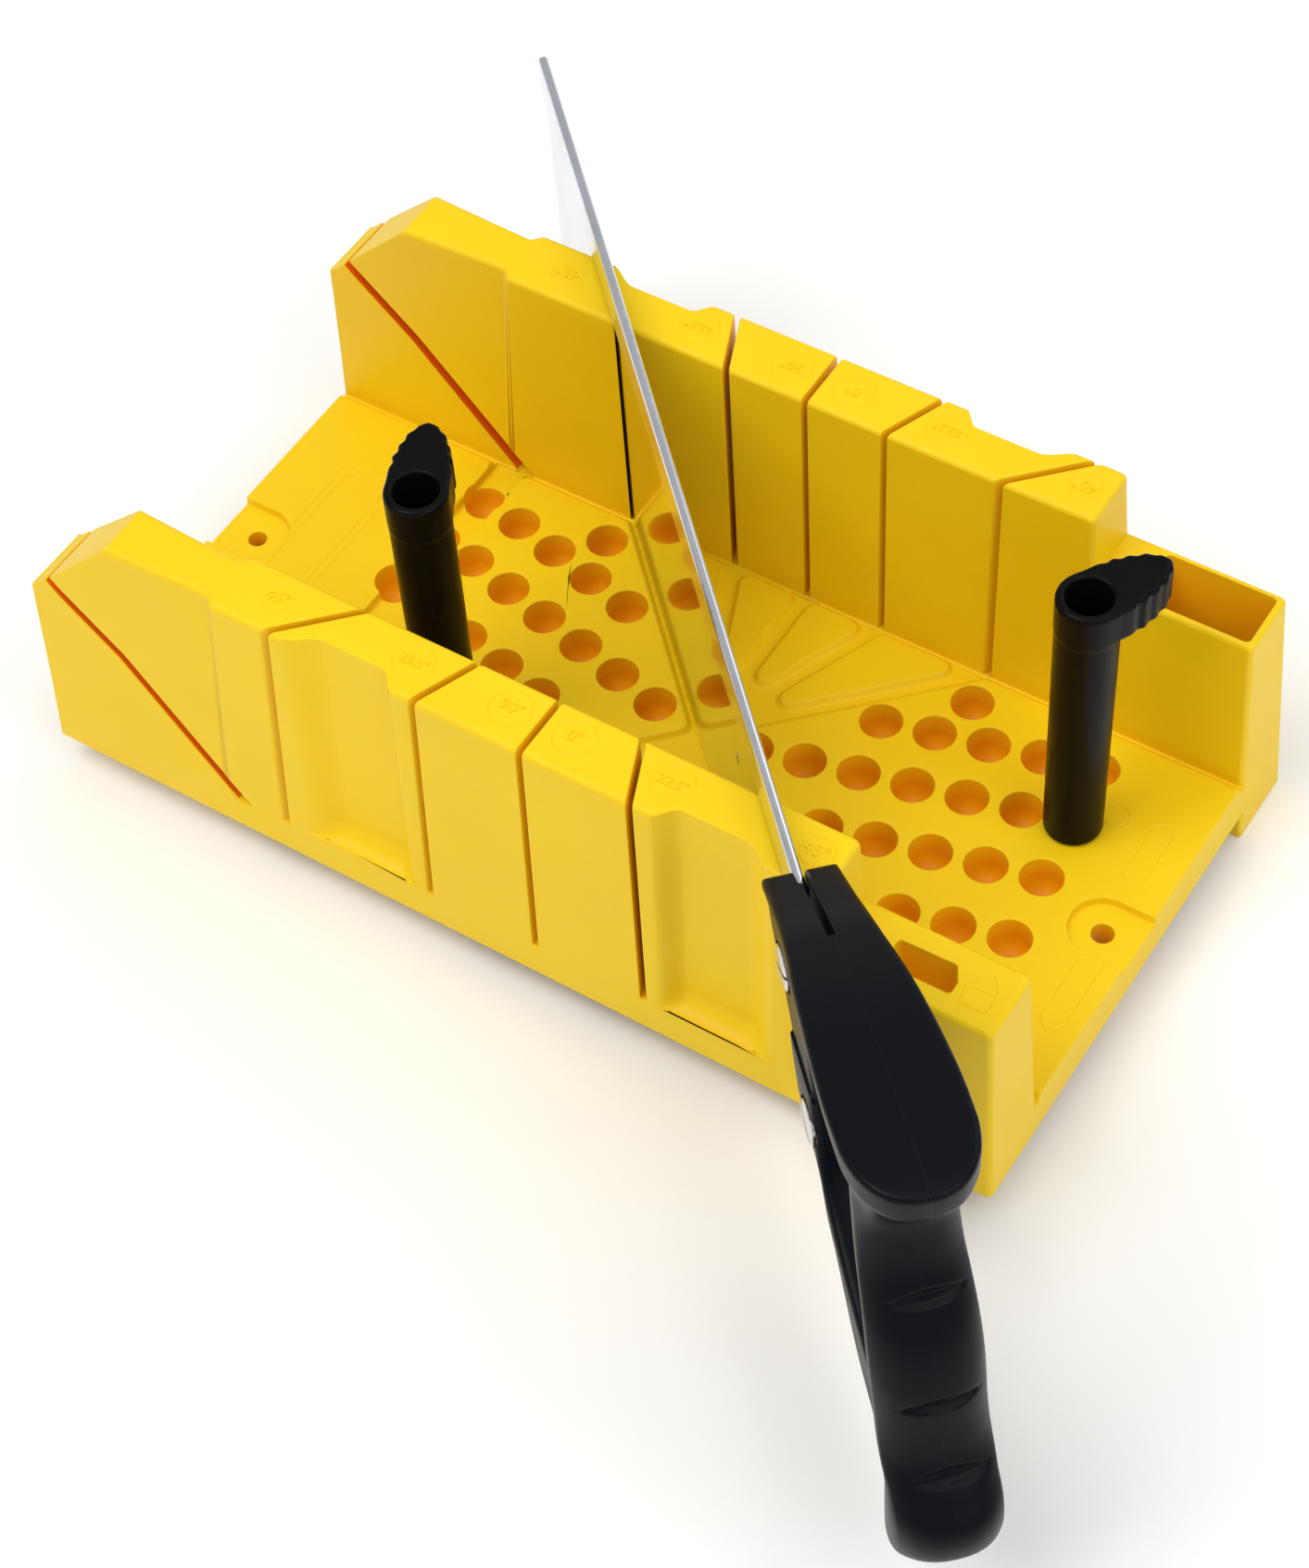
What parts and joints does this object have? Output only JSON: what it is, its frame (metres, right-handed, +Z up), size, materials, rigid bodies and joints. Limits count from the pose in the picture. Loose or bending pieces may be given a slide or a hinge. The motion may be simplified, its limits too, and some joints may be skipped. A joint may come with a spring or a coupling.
{
  "type": "mitre box saw",
  "caption": "Clamping mitre box of moulded plastic with slotted fences, peg holes, turning cam posts and a stiff-backed saw standing in one diagonal slot.",
  "frame": {"origin": "where the five slot lines cross, on the plane of the bench face under the box", "axes": "+X along the box towards its open storage-bin end, +Y across it towards the far fence with the bench lip, +Z up"},
  "size_m": [0.3657, 0.33, 0.1611],
  "materials": {
    "box": "yellow moulded plastic, satin",
    "cam_post": "black moulded plastic, satin",
    "blade": "polished bright steel sheet",
    "back": "folded bright steel strip",
    "handle": "black moulded plastic, fine texture",
    "fastener": "zinc-plated steel"
  },
  "bodies": {
    "box": {"box_body": "box"},
    "cam_left": {"cam_post_left": "cam_post"},
    "cam_right": {"cam_post_right": "cam_post"},
    "saw": {"saw_blade": "blade", "saw_back": "back", "saw_handle": "handle", "handle_screw_front": "fastener", "handle_nut_front": "fastener", "handle_screw_rear": "fastener", "handle_nut_rear": "fastener"}
  },
  "joints": [
    {"name": "saw_stroke", "type": "slide", "parent": "box", "child": "saw", "axis": [0.7071, -0.7071, 0], "range_m": [0, 0.08]},
    {"name": "cam_left_turn", "type": "hinge", "parent": "box", "child": "cam_left", "pos_m": [-0.065, -0.03, 0.014], "axis": [0, 0, 1], "continuous": true},
    {"name": "cam_right_turn", "type": "hinge", "parent": "box", "child": "cam_right", "pos_m": [0.10818, 0.0255, 0.014], "axis": [0, 0, 1], "continuous": true}
  ]
}
